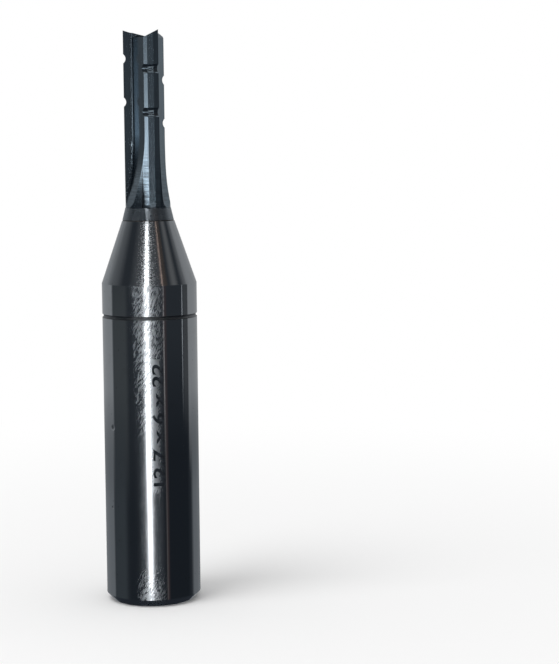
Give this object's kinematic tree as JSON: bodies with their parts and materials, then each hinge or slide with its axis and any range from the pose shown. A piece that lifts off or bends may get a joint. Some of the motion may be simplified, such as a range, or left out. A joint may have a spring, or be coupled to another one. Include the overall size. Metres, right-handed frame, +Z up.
{
  "type": "router bit",
  "caption": "Straight router bit with a carbide cutting head, ground flutes and chip-breaker notches, brazed into a turned shank with a cone and an insertion mark.",
  "frame": {"origin": "centre of the flat end face of the shank, where the bit stands", "axes": "+Z up the axis of the bit, from the shank to the cutting tip; -Y is the side between two teeth that shows one rake face and one land"},
  "size_m": [0.0126, 0.0126, 0.0764],
  "materials": {
    "shank_steel": "fine ground, with circumferential grinding lines",
    "silver_solder": "dull, heat-darkened",
    "ground_carbide": "ground, satin facets with brighter cutting lands"
  },
  "bodies": {
    "root": {"shank": "shank_steel", "braze_joint": "silver_solder", "cutting_head": "ground_carbide"}
  },
  "joints": []
}
